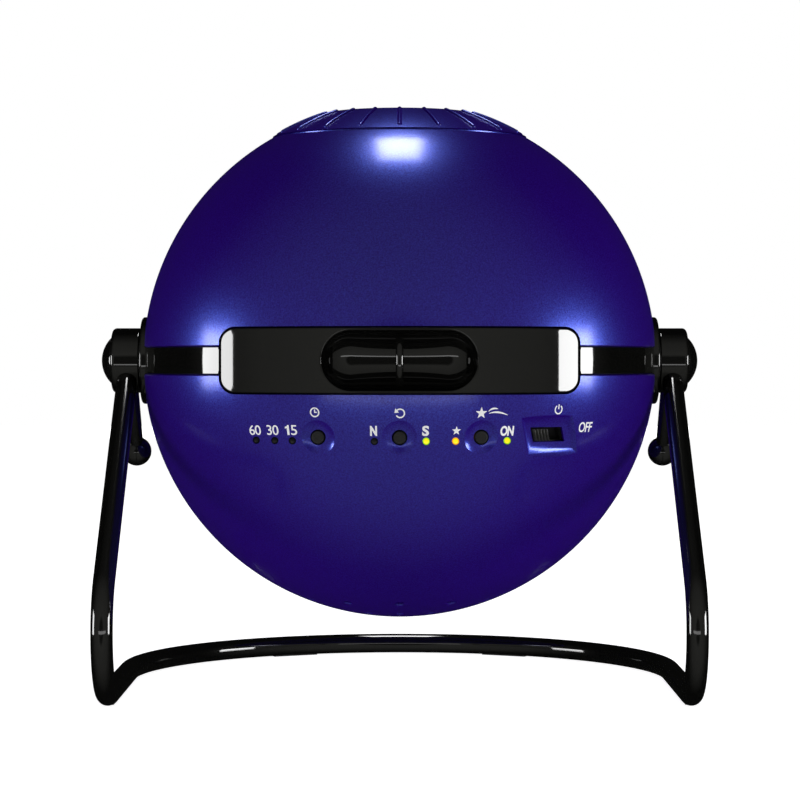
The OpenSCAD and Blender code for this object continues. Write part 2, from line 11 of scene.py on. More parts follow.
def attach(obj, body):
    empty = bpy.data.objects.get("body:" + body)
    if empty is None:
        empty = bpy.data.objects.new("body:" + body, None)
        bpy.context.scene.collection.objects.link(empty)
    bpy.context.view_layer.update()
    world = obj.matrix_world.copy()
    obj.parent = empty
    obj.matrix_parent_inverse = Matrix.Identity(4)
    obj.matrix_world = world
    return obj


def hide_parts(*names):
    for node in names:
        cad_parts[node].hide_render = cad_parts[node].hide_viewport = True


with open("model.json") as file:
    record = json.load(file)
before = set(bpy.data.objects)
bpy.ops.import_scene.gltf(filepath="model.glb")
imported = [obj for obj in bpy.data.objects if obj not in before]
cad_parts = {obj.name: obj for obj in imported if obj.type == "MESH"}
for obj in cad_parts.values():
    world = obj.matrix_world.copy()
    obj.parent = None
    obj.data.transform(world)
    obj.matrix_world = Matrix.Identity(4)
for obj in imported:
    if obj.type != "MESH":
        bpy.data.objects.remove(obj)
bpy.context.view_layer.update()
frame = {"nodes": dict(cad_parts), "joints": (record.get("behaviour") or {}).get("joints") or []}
mm = 0.001
tilt = next(j for j in frame["joints"] if j["name"] == "ball_tilt")
ball_middle = Vector(tilt["pos_m"])

# The photograph's view: a long lens, level with the middle of the ball and straight in front.
# The picture is 800 pixels wide, and the ball sits a little above its middle.
picture_width = 800
focal_pixels = 2747.4
camera_distance = 0.77
ball_pixel = (399.6, 360.5)
camera_data = bpy.data.cameras.new("photo_camera")
camera_data.sensor_width = 36
camera_data.lens = camera_data.sensor_width * focal_pixels / picture_width
camera_data.shift_x = (picture_width / 2 - ball_pixel[0]) / picture_width
camera_data.shift_y = -(picture_width / 2 - ball_pixel[1]) / picture_width
camera_data.clip_start = 0.05
camera = bpy.data.objects.new("photo_camera", camera_data)
camera.location = ball_middle + Vector((0, -camera_distance, 0))
camera.rotation_euler = (math.radians(90), 0, 0)
bpy.context.scene.collection.objects.link(camera)
bpy.context.scene.camera = camera
bpy.context.scene.view_settings.view_transform = "Standard"

# The studio: a pale floor that keeps the shadow, a white surround, and four softboxes. One hangs
# over the ball and one stands at each side, where the photograph shows their reflections. The
# fourth is a narrow, faint strip low in front, for the soft light along the ball's lower half.


def softbox(name, offset, width, height, power):
    """An area lamp at an offset from the ball's middle, turned to face it."""
    data = bpy.data.lights.new(name, "AREA")
    data.shape = "RECTANGLE"
    data.size = width
    data.size_y = height
    data.energy = power
    lamp = bpy.data.objects.new(name, data)
    place = ball_middle + Vector(offset)
    lamp.location = place
    lamp.rotation_euler = (ball_middle - place).to_track_quat("-Z", "Y").to_euler()
    bpy.context.scene.collection.objects.link(lamp)


softbox("left_softbox", (-1.547, -0.116, 0.02), 0.505, 0.46, 9)
softbox("right_softbox", (1.54, -0.206, 0.02), 0.553, 0.46, 12.8)
softbox("top_softbox", (0, 0.32, 1.17), 0.24, 0.34, 4.4)
softbox("low_front_softbox", (0, -0.30, -0.078), 0.36, 0.02, 0.052)


def add_node(nodes, kind, values=None, operation=None):
    """A shader node with values set on its sockets by name or number, and with its operation set."""
    made = nodes.new("ShaderNode" + kind)
    if operation:
        made.operation = operation
    for socket, value in (values or {}).items():
        made.inputs[socket].default_value = value
    return made


def new_material(name):
    made = bpy.data.materials.new(name)
    made.use_nodes = True
    made.node_tree.nodes.clear()
    return made, made.node_tree.nodes, made.node_tree.links


def put_out(shader, nodes, links):
    """Joins a shader to the material's surface."""
    links.new(shader.outputs[0], add_node(nodes, "OutputMaterial").inputs["Surface"])


world = bpy.data.worlds.new("white_surround")
bpy.context.scene.world = world
world.use_nodes = True
nodes, links = world.node_tree.nodes, world.node_tree.links
nodes.clear()
surround = add_node(nodes, "Background", {"Color": (1, 1, 1, 1)})
links.new(surround.outputs[0], add_node(nodes, "OutputWorld").inputs["Surface"])


def add_object(name, data):
    made = bpy.data.objects.new(name, data)
    bpy.context.scene.collection.objects.link(made)
    return made


def add_mesh(name, points, faces):
    data = bpy.data.meshes.new(name)
    data.from_pydata(points, [], faces)
    return add_object(name, data)


floor_half = 3.0
floor_corners = [(x * floor_half, y * floor_half, 0) for x, y in ((-1, -1), (1, -1), (1, 1), (-1, 1))]
floor = add_mesh("floor", floor_corners, [(0, 1, 2, 3)])
floor.visible_glossy = False
floor_paint, nodes, links = new_material("floor_paint")
paper = add_node(nodes, "BsdfDiffuse", {"Color": (0.9, 0.9, 0.9, 1)})
place = add_node(nodes, "TexCoord")
away = add_node(nodes, "VectorMath", operation="LENGTH")
links.new(place.outputs["Object"], away.inputs[0])
fading = add_node(nodes, "MapRange", {"From Min": 0.15, "From Max": 0.9, "To Min": 0.93, "To Max": 1})
links.new(away.outputs["Value"], fading.inputs["Value"])
seen = add_node(nodes, "LightPath")
dimmed = add_node(nodes, "MapRange", {"To Min": 0.5})
links.new(seen.outputs["Is Camera Ray"], dimmed.inputs["Value"])
level = add_node(nodes, "Math", operation="MULTIPLY")
links.new(fading.outputs[0], level.inputs[0])
links.new(dimmed.outputs[0], level.inputs[1])
glow = add_node(nodes, "Emission")
links.new(level.outputs[0], glow.inputs["Strength"])
both = add_node(nodes, "AddShader")
links.new(paper.outputs[0], both.inputs[0])
links.new(glow.outputs[0], both.inputs[1])
put_out(both, nodes, links)
floor.data.materials.append(floor_paint)

# A dark cloth tent stands round the object out of the camera's sight. It is palest in front of the
# object, where the room shows, and it is what the black parts and the rim of the ball reflect.


def arc_points(r, start, end, count, middle=(0, 0)):
    """Points on a circle about a middle, from one angle to another, in degrees."""
    angles = [math.radians(start + (end - start) * i / count) for i in range(count + 1)]
    return [(middle[0] + r * math.cos(a), middle[1] + r * math.sin(a)) for a in angles]


def face_outward(mesh, data):
    """Turns a bmesh's faces outward and writes it to a mesh."""
    bmesh.ops.recalc_face_normals(mesh, faces=mesh.faces)
    mesh.to_mesh(data)
    mesh.free()


def spin(name, profile, steps=192, closed=True, turn=None):
    """A turned piece: the profile's (radius, height) points go round +Z, then turn places the piece."""
    mesh = bmesh.new()
    rings = []
    for r, z in profile:
        around = range(1 if r < 1e-9 else steps)
        angles = [2 * math.pi * i / steps for i in around]
        rings.append([mesh.verts.new((r * math.cos(a), r * math.sin(a), z)) for a in angles])
    pairs = list(zip(rings, rings[1:]))
    if closed:
        pairs.append((rings[-1], rings[0]))
    for low, high in pairs:
        for i in range(steps):
            j = (i + 1) % steps
            corners = [low[i % len(low)], low[j % len(low)], high[j % len(high)], high[i % len(high)]]
            unique = list(dict.fromkeys(corners))
            if len(unique) > 2:
                mesh.faces.new(unique)
    data = bpy.data.meshes.new(name)
    face_outward(mesh, data)
    if turn is not None:
        data.transform(turn)
    return add_object(name, data)


tent_r = 2.4
tent = spin("cloth_tent", arc_points(tent_r, -90, 90, 32), 64, False)
tent.visible_camera = False
tent.visible_shadow = False
tent.visible_transmission = False
tent_paint, nodes, links = new_material("tent_paint")
place = add_node(nodes, "TexCoord")
forward = add_node(nodes, "VectorMath", operation="NORMALIZE")
links.new(place.outputs["Object"], forward.inputs[0])
split = add_node(nodes, "SeparateXYZ")
links.new(forward.outputs[0], split.inputs[0])
turned = add_node(nodes, "Math", operation="ARCCOSINE")
links.new(split.outputs["Y"], turned.inputs[0])
from_back = add_node(nodes, "Math", {1: math.pi}, "DIVIDE")
links.new(turned.outputs[0], from_back.inputs[0])
tone = add_node(nodes, "ValToRGB")
# Each step is a place from the back (0) to the front (1), and how pale the cloth is there.
cloth_steps = ((0, 0.004), (0.411, 0.004), (0.511, 0.06), (0.656, 0.20), (0.87, 0.28), (0.915, 0.06),
               (1, 0.06))
warmth = 0.93
for at, pale in cloth_steps[1:-1]:
    tone.color_ramp.elements.new(at)
for element, (at, pale) in zip(tone.color_ramp.elements, cloth_steps):
    element.position = at
    element.color = (pale, pale, pale * warmth, 1)
links.new(from_back.outputs[0], tone.inputs["Fac"])
cloth = add_node(nodes, "Emission")
links.new(tone.outputs["Color"], cloth.inputs["Color"])
put_out(cloth, nodes, links)
tent.data.materials.append(tent_paint)

# The ball's shells are injection-moulded ABS in indigo with a fine metallic fleck, under a satin
# coat. The upper one runs from the equator band to the focus ring. Both are cut away at the front
# for the tray's plate and at the sides for the tilt bosses.
ball_r = 71.5 * mm
shell_wall = 2.2 * mm
band_half = 3.8 * mm
focus_seam_r = 35.8 * mm
plate_width = 93.8 * mm
plate_height = 17 * mm
plate_corner = 4 * mm
seam = 0.3 * mm
boss_r = 12.15 * mm


def at_ball(turn=Matrix()):
    return Matrix.Translation(ball_middle) @ turn


def sideways(side):
    """Turns +Z to the left (-1) or to the right (1) of the ball's middle."""
    return at_ball(Matrix.Rotation(math.radians(90 * side), 4, "Y"))


def outward(lon, lat):
    """Turns +Z to the ball's outward direction at a longitude and latitude, with +Y up along the surface."""
    return Matrix.Rotation(math.radians(lon), 4, "Z") @ Matrix.Rotation(math.radians(90 - lat), 4, "X")


def round_corners(width, height, corner, steps):
    """Outline of a bar with round corners, as (x, z) points anticlockwise from its right end."""
    outline = []
    for across, up, start in ((1, 1, 0), (-1, 1, 90), (-1, -1, 180), (1, -1, 270)):
        middle = (across * (width / 2 - corner), up * (height / 2 - corner))
        outline += arc_points(corner, start, start + 90, steps, middle)
    return outline


def stack_rings(name, rings, close_front=False, close_back=False, turn=None):
    """A skin through rings of points that all hold the same count, with its faces turned outward."""
    count = len(rings[0])
    points = [p for ring in rings for p in ring]
    faces = []
    for low in range(0, len(points) - count, count):
        faces += [(low + i, low + (i + 1) % count, low + count + (i + 1) % count, low + count + i)
                  for i in range(count)]
    if close_front:
        faces.append(tuple(range(count)))
    if close_back:
        faces.append(tuple(range(len(points) - count, len(points))))
    made = add_mesh(name, points, faces)
    mesh = bmesh.new()
    mesh.from_mesh(made.data)
    face_outward(mesh, made.data)
    if turn is not None:
        made.data.transform(turn)
    return made


def apply_modifiers(piece):
    bpy.context.view_layer.update()
    evaluated = piece.evaluated_get(bpy.context.evaluated_depsgraph_get())
    done = bpy.data.meshes.new_from_object(evaluated)
    piece.modifiers.clear()
    piece.data = done


def cut(piece, cutters, how="DIFFERENCE"):
    """Cuts each cutter out of the piece, and drops the cutters."""
    for cutter in cutters:
        step = piece.modifiers.new("cut", "BOOLEAN")
        step.operation = how
        step.solver = "EXACT"
        step.object = cutter
    apply_modifiers(piece)
    for cutter in cutters:
        bpy.data.objects.remove(cutter)


def join(name, pieces):
    """One mesh object from several."""
    mesh = bmesh.new()
    for piece in pieces:
        mesh.from_mesh(piece.data)
    data = bpy.data.meshes.new(name)
    mesh.to_mesh(data)
    mesh.free()
    for piece in pieces:
        bpy.data.objects.remove(piece)
    return add_object(name, data)


def smooth(piece, crease=30, sphere_r=None):
    """Shades smooth between creases. Faces on the ball's own sphere get its true normals."""
    data = piece.data
    data.shade_smooth()
    data.set_sharp_from_angle(angle=math.radians(crease))
    if sphere_r:
        normals = [Vector(n.vector) for n in data.corner_normals]
        near = 0.02 * mm
        on_ball = [abs((v.co - ball_middle).length - sphere_r) < near for v in data.vertices]
        for face in data.polygons:
            if all(on_ball[i] for i in face.vertices):
                for corner in face.loop_indices:
                    spot = data.vertices[data.loops[corner].vertex_index].co
                    normals[corner] = (spot - ball_middle).normalized()
        data.normals_split_custom_set(normals)
    else:
        even = piece.modifiers.new("even_normals", "WEIGHTED_NORMAL")
        even.keep_sharp = True
        apply_modifiers(piece)


def shell_profile(low_angle, high_angle, edge=0.25):
    """A slice of the shell between two latitudes, with its outer edges eased."""
    inner = ball_r - shell_wall
    ease = math.degrees(edge * mm / ball_r)
    outer_arc = arc_points(ball_r, low_angle + ease, high_angle - ease, 72)
    edges = [arc_points(ball_r - edge * mm, angle, angle, 1)[:1] for angle in (low_angle, high_angle)]
    return edges[0] + outer_arc + edges[1] + arc_points(inner, high_angle, low_angle, 36)


def plate_gap(back=48 * mm):
    """A cutter for the opening round the tray's plate, from in front of the ball back to a depth."""
    outline = round_corners(plate_width + 2 * seam, plate_height + 2 * seam, plate_corner + seam, 12)
    rings = [[(x, y, z) for x, z in outline] for y in (-ball_r - 5 * mm, -back)]
    return stack_rings("plate_gap", rings, True, True, at_ball())


def plug(r, low, high):
    """Profile of a plain round plug between two heights."""
    return [(0, low), (r, low), (r, high), (0, high)]


def boss_gaps():
    """Cutters for the round openings that the two tilt bosses fill."""
    profile = plug(boss_r + seam, 50 * mm, 80 * mm)
    return [spin("boss_gap", profile, 96, False, sideways(side)) for side in (-1, 1)]


band_angle = math.degrees(math.asin(band_half / ball_r))
seam_angle = math.degrees(math.acos(focus_seam_r / ball_r))
upper_ball = spin("upper_ball", shell_profile(band_angle, seam_angle), 256, True, at_ball())
cut(upper_ball, [plate_gap()] + boss_gaps())
smooth(upper_ball, 30, ball_r)

# Fleck is built once as a node group: tiny bright and dark grains in the coat, with a scale and a
# strength, put out as a tinted colour and as grain for the surface's slight unevenness.


def new_group(name, inputs, outputs):
    """A shader node group with named float or colour sockets, and its own input and output nodes."""
    made = bpy.data.node_groups.new(name, "ShaderNodeTree")
    for way, sockets in (("INPUT", inputs), ("OUTPUT", outputs)):
        for socket, kind in sockets.items():
            made.interface.new_socket(socket, in_out=way, socket_type="NodeSocket" + kind)
    return made, made.nodes, made.links, made.nodes.new("NodeGroupInput"), made.nodes.new("NodeGroupOutput")


def place_group(nodes, group, values):
    """The group as a node of a material, with its own values."""
    made = add_node(nodes, "Group")
    made.node_tree = group
    for socket, value in values.items():
        made.inputs[socket].default_value = value
    return made


fleck, nodes, links, given, out = new_group(
    "metal_fleck", {"Scale": "Float", "Strength": "Float", "Colour": "Color"},
    {"Color": "Color", "Grain": "Float"})
place = add_node(nodes, "TexCoord")
grain = add_node(nodes, "TexNoise", {"Detail": 2, "Roughness": 0.7})
links.new(place.outputs["Object"], grain.inputs["Vector"])
links.new(given.outputs["Scale"], grain.inputs["Scale"])
spread = add_node(nodes, "MapRange", {"From Min": 0.3, "From Max": 0.7, "To Min": -1, "To Max": 1})
links.new(grain.outputs[0], spread.inputs["Value"])
scaled = add_node(nodes, "Math", {2: 1}, "MULTIPLY_ADD")
links.new(spread.outputs[0], scaled.inputs[0])
links.new(given.outputs["Strength"], scaled.inputs[1])
tint = add_node(nodes, "VectorMath", operation="SCALE")
links.new(given.outputs["Colour"], tint.inputs[0])
links.new(scaled.outputs[0], tint.inputs["Scale"])
links.new(tint.outputs[0], out.inputs["Color"])
links.new(grain.outputs[0], out.inputs["Grain"])


def blue_satin(name):
    """Indigo plastic: a violet body and fine bluer metallic fleck, both under one satin coat."""
    made, nodes, links = new_material(name)
    grains = place_group(nodes, fleck, {"Scale": 2600, "Strength": 0.7, "Colour": (0.034, 0.07, 0.43, 1)})
    uneven = add_node(nodes, "Bump", {"Strength": 0.1, "Distance": 0.02 * mm})
    links.new(grains.outputs["Grain"], uneven.inputs["Height"])
    coat = {"Coat Weight": 0.65, "Coat Roughness": 0.17}
    body = add_node(nodes, "BsdfPrincipled", {"Base Color": (0.036, 0.0002, 0.295, 1), "Roughness": 0.5,
                                              "Specular IOR Level": 0, **coat})
    flake = add_node(nodes, "BsdfPrincipled", {"Metallic": 1, "Roughness": 0.3, **coat})
    links.new(grains.outputs["Color"], flake.inputs["Base Color"])
    mixed = add_node(nodes, "MixShader", {0: 0.5})
    for layer, place in ((body, 1), (flake, 2)):
        links.new(uneven.outputs[0], layer.inputs["Normal"])
        links.new(layer.outputs[0], mixed.inputs[place])
    put_out(mixed, nodes, links)
    return made


def finish_with(piece, material):
    """Gives a piece one material."""
    piece.data.materials.clear()
    piece.data.materials.append(material)


ball_blue = blue_satin("ball_blue")
finish_with(upper_ball, ball_blue)
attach(upper_ball, "ball")
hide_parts("top_shell")

# The lower shell holds the row of keys: dished recesses for the three buttons, round holes for the
# lamps and a sloping recess for the power slide. Two rings of vents lie round its bottom, and the
# screw wells and the power inlet are at its back.
button_d = 3.8 * mm
dish_r = 4.55 * mm
dish_depth = 0.95 * mm
dish_floor_r = 2.1 * mm
dish_lip = 0.14 * mm
dish_curve = 1.7
key_lat = -16
button_lons = (-17.75, 0, 17.75)
lamp_r = 0.875 * mm
lamp_lat = -16.8
dark_lamps = (-32.9, -28.1, -23.8, -5.4)
lit_lamps = (5.7, 12.1, 23.9)
vent_r = 1.15 * mm
vent_polars = (23.1, 13.9)
vent_count = 12
vent_ease = 0.4 * mm
well_lat = -50
well_lons = (120, 180, -120)
well_r = 3.4 * mm
inlet_lat = -20
inlet_r = 4.2 * mm
hole_depth = 6 * mm
switch_lon = 35
slot_half = (5.2 * mm, 2.0 * mm)
recess_half = (9.6 * mm, 6.5 * mm)
recess_depth = 1.7 * mm
recess_rise = 0.8 * mm
recess_turn = math.radians(62)
recess_steps = 8
slot_lean = math.tan(math.radians(24))


def ball_point(lon, lat, r=ball_r):
    return outward(lon, lat) @ Vector((0, 0, r))


def on_ball(lon, lat, rise=0.0):
    """Turns +Z outward on the ball's surface, or at a height over or under it."""
    return at_ball(outward(lon, lat) @ Matrix.Translation((0, 0, ball_r + rise)))


def forwards(across, up, ahead=0.0):
    """Turns +Z straight to the front, at a place measured from the ball's middle."""
    return at_ball(Matrix.Translation((across, -ahead, up)) @ Matrix.Rotation(math.radians(90), 4, "X"))


def forward_hole(name, lon, lat, r, start, steps=48):
    """A cutter that runs straight to the front through the ball's surface at a longitude and latitude."""
    spot = ball_point(lon, lat)
    return spin(name, plug(r, 0, 40 * mm), steps, False, forwards(spot.x, spot.z, start))


def dish_cutter(lon):
    """A dish whose side curves up to a crisp rim at the surface."""
    profile = [(0, 0)]
    for k in range(25):
        across = dish_floor_r + (dish_r - dish_floor_r) * k / 24
        profile.append((across, (dish_depth - dish_lip) * (k / 24) ** dish_curve))
    mouth_r = dish_r + 0.25 * mm
    profile += [(mouth_r, dish_depth + 0.02 * mm), (mouth_r, 4 * mm), (0, 4 * mm)]
    return spin("dish", profile, 72, False, on_ball(lon, key_lat, -dish_depth))


def leaning_corners(half, depth):
    """The corners of the power slide's slot or recess at a height over the surface. Its ends lean."""
    return [(x * half[0] - slot_lean * y * half[1], y * half[1], depth)
            for x, y in ((-1, -1), (1, -1), (1, 1), (-1, 1))]


def hollow_recess():
    """The recess round the slot. Its four slopes are hollow: flat by the slot, steep at the rim."""
    rings = []
    for k in range(recess_steps + 1):
        turn = recess_turn * k / recess_steps
        spread = math.sin(turn) / math.sin(recess_turn)
        rise = (1 - math.cos(turn)) / (1 - math.cos(recess_turn))
        half = [low + (high - low) * spread for low, high in zip(slot_half, recess_half)]
        rings.append(leaning_corners(half, -recess_depth + (recess_depth + recess_rise) * rise))
    rings.append(leaning_corners(recess_half, recess_rise + 2 * mm))
    return stack_rings("recess", rings, True, True, on_ball(switch_lon, key_lat))


def drill(name, lon, lat, r, steps, ease=0.0):
    """A cutter straight into the ball, that may ease the hole's rim."""
    profile = [(0, ball_r - hole_depth), (r, ball_r - hole_depth), (r, ball_r - ease),
               (r + 1.2 * ease, ball_r + 0.2 * ease), (r + 1.2 * ease, ball_r + 3 * mm), (0, ball_r + 3 * mm)]
    return spin(name, profile, steps, False, at_ball(outward(lon, lat)))


lower_ball = spin("lower_ball", shell_profile(-89.6, -band_angle), 256, True, at_ball())
first_cuts = [dish_cutter(lon) for lon in button_lons]
first_cuts.append(hollow_recess())
for polar in vent_polars:
    for i in range(vent_count):
        first_cuts.append(drill("vent", i * 360 / vent_count, polar - 90, vent_r, 32, vent_ease))
first_cuts.append(drill("inlet", 180, inlet_lat, inlet_r, 48))
first_cuts += [drill("well", lon, well_lat, well_r, 40) for lon in well_lons]
cut(lower_ball, [plate_gap(), join("first_cuts", first_cuts)] + boss_gaps())
play = 0.1 * mm
second_cuts = [forward_hole("button_hole", lon, key_lat, button_d / 2 + play, 40 * mm) for lon in button_lons]
for lon in dark_lamps + lit_lamps:
    second_cuts.append(forward_hole("lamp_hole", lon, lamp_lat, lamp_r + play, 30 * mm, 32))
slot_rings = [leaning_corners(slot_half, -hole_depth), leaning_corners(slot_half, 0)]
second_cuts.append(stack_rings("slot", slot_rings, True, True, on_ball(switch_lon, key_lat)))
cut(lower_ball, [join("second_cuts", second_cuts)])
smooth(lower_ball, 30, ball_r)
finish_with(lower_ball, ball_blue)
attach(lower_ball, "ball")
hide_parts("bottom_shell")

# The ring between the shells is polished black ABS. It carries a boss at each side, a little proud
# of the ball, that the ball tilts on. Hands leave a slight haze on it, built once as a node group.
haze, nodes, links, given, out = new_group(
    "handling_haze", {"Scale": "Float", "Low": "Float", "High": "Float"}, {"Roughness": "Float"})
place = add_node(nodes, "TexCoord")
cloud = add_node(nodes, "TexNoise")
links.new(place.outputs["Object"], cloud.inputs["Vector"])
links.new(given.outputs["Scale"], cloud.inputs["Scale"])
handled = add_node(nodes, "MapRange")
links.new(cloud.outputs[0], handled.inputs["Value"])
links.new(given.outputs["Low"], handled.inputs["To Min"])
links.new(given.outputs["High"], handled.inputs["To Max"])
links.new(handled.outputs[0], out.inputs["Roughness"])


def gloss_black(name, tone=0.003, rough=0.04, coat=0.3):
    """Polished or enamelled black: nearly mirror smooth, with a clear coat."""
    made, nodes, links = new_material(name)
    shader = add_node(nodes, "BsdfPrincipled", {"Coat Weight": coat, "Coat Roughness": 0.03})
    black = (tone, tone, tone * warmth, 1)
    grains = place_group(nodes, fleck, {"Scale": 900, "Strength": 0.15, "Colour": black})
    links.new(grains.outputs["Color"], shader.inputs["Base Color"])
    handled = place_group(nodes, haze, {"Scale": 60, "Low": rough * 0.7, "High": rough * 1.4})
    links.new(handled.outputs["Roughness"], shader.inputs["Roughness"])
    put_out(shader, nodes, links)
    return made


polished_black = gloss_black("polished_black")
band_r = ball_r - 0.15 * mm
band_face = 3.7 * mm
band_in = 62 * mm
boss_in = 61 * mm
boss_face = 72 * mm
boss_bore = 2.55 * mm
boss_edge = 0.8 * mm
edge = 0.3 * mm
face_half = math.degrees(math.asin((band_face - edge) / band_r))
band_profile = arc_points(band_r, -face_half, face_half, 10)
band_profile += [(band_r - edge, band_face), (band_in, band_face)]
band_profile += [(band_in, -band_face), (band_r - edge, -band_face)]
equator_band = spin("equator_band", band_profile, 320, True, at_ball())
cut(equator_band, [plate_gap(40 * mm)] + boss_gaps())
smooth(equator_band, 28)
boss_profile = [(boss_bore, boss_in), (boss_r, boss_in)]
boss_profile += arc_points(boss_edge, 0, 90, 8, (boss_r - boss_edge, boss_face - boss_edge))
boss_profile.append((boss_bore, boss_face))
bosses = [spin("boss", boss_profile, 128, True, sideways(side)) for side in (-1, 1)]
for boss in bosses:
    smooth(boss, 40)
frame_ring = join("frame_ring", [equator_band] + bosses)
smooth(frame_ring, 28)
finish_with(frame_ring, polished_black)
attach(frame_ring, "ball")

rail_in = 44.3 * mm
rail_out = 47.3 * mm
rail_half = 4.2 * mm
rail_front = -47 * mm
rail_back = 40 * mm
both_rails = []
for side in (-1, 1):
    ends = ((rail_in, rail_front), (rail_out, rail_front), (rail_out, rail_back), (rail_in, rail_back))
    rail_rings = [[(side * x, y, z) for x, y in ends] for z in (-rail_half, rail_half)]
    both_rails.append(stack_rings("rail", rail_rings, True, True, at_ball()))
rails = join("rails", both_rails)
finish_with(rails, polished_black)
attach(rails, "ball")
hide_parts("mid_frame")
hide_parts("mid_frame")

# The tray's front is one polished black moulding: a plate that lies flush with the ball, with an
# oval finger bowl in its middle and a thin upright fin across the bowl to grip.
bowl_half_width = 20 * mm
bowl_half_height = 7.65 * mm
bowl_depth = 9.5 * mm
fin_half = 1 * mm
fin_half_height = 7.6 * mm
fin_sunk = 0.6 * mm
plate_thick = 3 * mm
plate_crown = 300 * mm
plate_round = 0.55 * mm
bowl_rim = 0.5 * mm
fin_nose_r = 8.3 * mm


def stadium(half_width, half_height, steps):
    """Outline of a bar with round ends, as (x, z) points anticlockwise from its right end."""
    outline = []
    for side, start in ((1, -90), (-1, 90)):
        outline += arc_points(half_height, start, start + 180, steps, (side * (half_width - half_height), 0))
    return outline


def on_plate(x, z, r):
    """The front point of the plate's face, or of a face at its back: a drum with a slight crown."""
    return (x, z * z / (2 * plate_crown) - math.sqrt(max(r * r - x * x, 0)), z)


def between(a, b, t):
    """The point a part of the way from one (x, z) point to another."""
    return (a[0] + (b[0] - a[0]) * t, a[1] + (b[1] - a[1]) * t)


def resample(outline, count):
    """The closed outline again, as count points at even steps along it from its first point."""
    ends = outline[1:] + outline[:1]
    lengths = [math.dist(a, b) for a, b in zip(outline, ends)]
    total = sum(lengths)
    made = []
    for i in range(count):
        left = total * i / count
        for a, b, length in zip(outline, ends, lengths):
            if left <= length and length > 0:
                made.append(between(a, b, left / length))
                break
            left -= length
        else:
            made.append(outline[0])
    return made


loop_count = 384


def plate_loop(by):
    """The plate's outline drawn in by a distance, from the middle of its right end."""
    outline = round_corners(plate_width - 2 * by, plate_height - 2 * by, plate_corner - by, 24)
    return resample([(plate_width / 2 - by, 0)] + outline, loop_count)


def bowl_loop(by):
    """The bowl's outline drawn in by a distance, from the middle of its right end."""
    outline = stadium(bowl_half_width - by, bowl_half_height - by, 64)
    return resample(outline[32:] + outline[:32], loop_count)


edge_turns = [math.radians(15 * i) for i in range(7)]
rings = [[on_plate(x, z, ball_r - plate_thick) for x, z in plate_loop(0)]]
for turn in edge_turns:
    inset = plate_round * (1 - math.cos(turn))
    rings.append([on_plate(x, z, ball_r - plate_round * (1 - math.sin(turn))) for x, z in plate_loop(inset)])
face_from = plate_loop(plate_round)
face_to = bowl_loop(-bowl_rim)
for k in range(1, 12):
    rings.append([on_plate(*between(a, b, k / 12), ball_r) for a, b in zip(face_from, face_to)])
for turn in edge_turns:
    spread = -bowl_rim * (1 - math.sin(turn))
    rings.append([on_plate(x, z, ball_r - bowl_rim * (1 - math.cos(turn))) for x, z in bowl_loop(spread)])
bowl_floor = ball_r - bowl_depth
bowl_steps = 24
for k in range(1, bowl_steps + 1):
    turn = math.radians(90 * k / (bowl_steps + 0.4))
    sunk = math.sin(turn)
    ring = []
    for x, z in bowl_loop(bowl_half_height * (1 - math.cos(turn))):
        front = -on_plate(x, z, ball_r - bowl_rim)[1]
        ring.append((x, -(front + (bowl_floor - front) * sunk), z))
    rings.append(ring)
plate = stack_rings("tray_plate", rings, close_back=True, turn=at_ball())
smooth(plate, 35)

fin_nose = [(x, y - fin_half) for x, y in arc_points(fin_half, 0, 180, 12)]
fin_rings = []
for k in range(25):
    z = fin_half_height * (k / 12 - 1)
    front = ball_r - fin_sunk - fin_nose_r + math.sqrt(fin_nose_r ** 2 - z * z)
    fin_rings.append([(fin_half, -bowl_floor, z)] + [(x, -(front + y), z) for x, y in fin_nose]
                     + [(-fin_half, -bowl_floor, z)])
fin = stack_rings("tray_fin", fin_rings, True, True, at_ball())
smooth(fin, 40)
for piece in (plate, fin):
    finish_with(piece, polished_black)
    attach(piece, "tray")
    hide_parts("tray_front")

# The focus ring is moulded in the ball's indigo plastic and turns in the top shell. Twenty
# fine ribs run down its dome for grip, and its rim surrounds the lens.
focus_r = 35.5 * mm
focus_sphere = ball_r + 0.3 * mm
rim_r = 20.3 * mm
mouth_r = 19 * mm
skirt_out = 30.2 * mm
skirt_in = 27.6 * mm
skirt_z = 52.5 * mm
flange_z = 59.8 * mm
dome_z = 63.5 * mm
undercut = 0.8 * mm
rib_r = 0.64 * mm
rib_sink = 0.12 * mm
rib_low = math.degrees(math.acos(33.9 * mm / focus_sphere))
rib_high = math.degrees(math.acos(21.5 * mm / focus_sphere))
rib_count = 20
edge_low = math.degrees(math.acos(focus_r / focus_sphere))
edge_high = math.degrees(math.acos(rim_r / focus_sphere))
edge_z = focus_sphere * math.sin(math.radians(edge_low))


def dome_radius(angle):
    """The dome stands a little further out of the ball's own sphere toward its rim."""
    return focus_sphere + 0.25 * mm * (angle - edge_low) / (edge_high - edge_low)


dome = [(focus_r - undercut, flange_z), (focus_r - undercut, edge_z - 0.25 * mm)]
for k in range(41):
    angle = edge_low + (edge_high - edge_low - 0.3) * k / 40
    dome += arc_points(dome_radius(angle), angle, angle, 1)[:1]
dome += [(rim_r, dome[-1][1] - 0.5 * mm), (rim_r, dome_z + 4.1 * mm)]
dome += [(mouth_r, dome_z + 2.9 * mm), (mouth_r, dome_z), (skirt_in, dome_z), (skirt_in, skirt_z)]
dome += [(skirt_out, skirt_z), (skirt_out, flange_z)]
focus_cap = spin("focus_cap", dome, 288, True, at_ball())
smooth(focus_cap, 30)


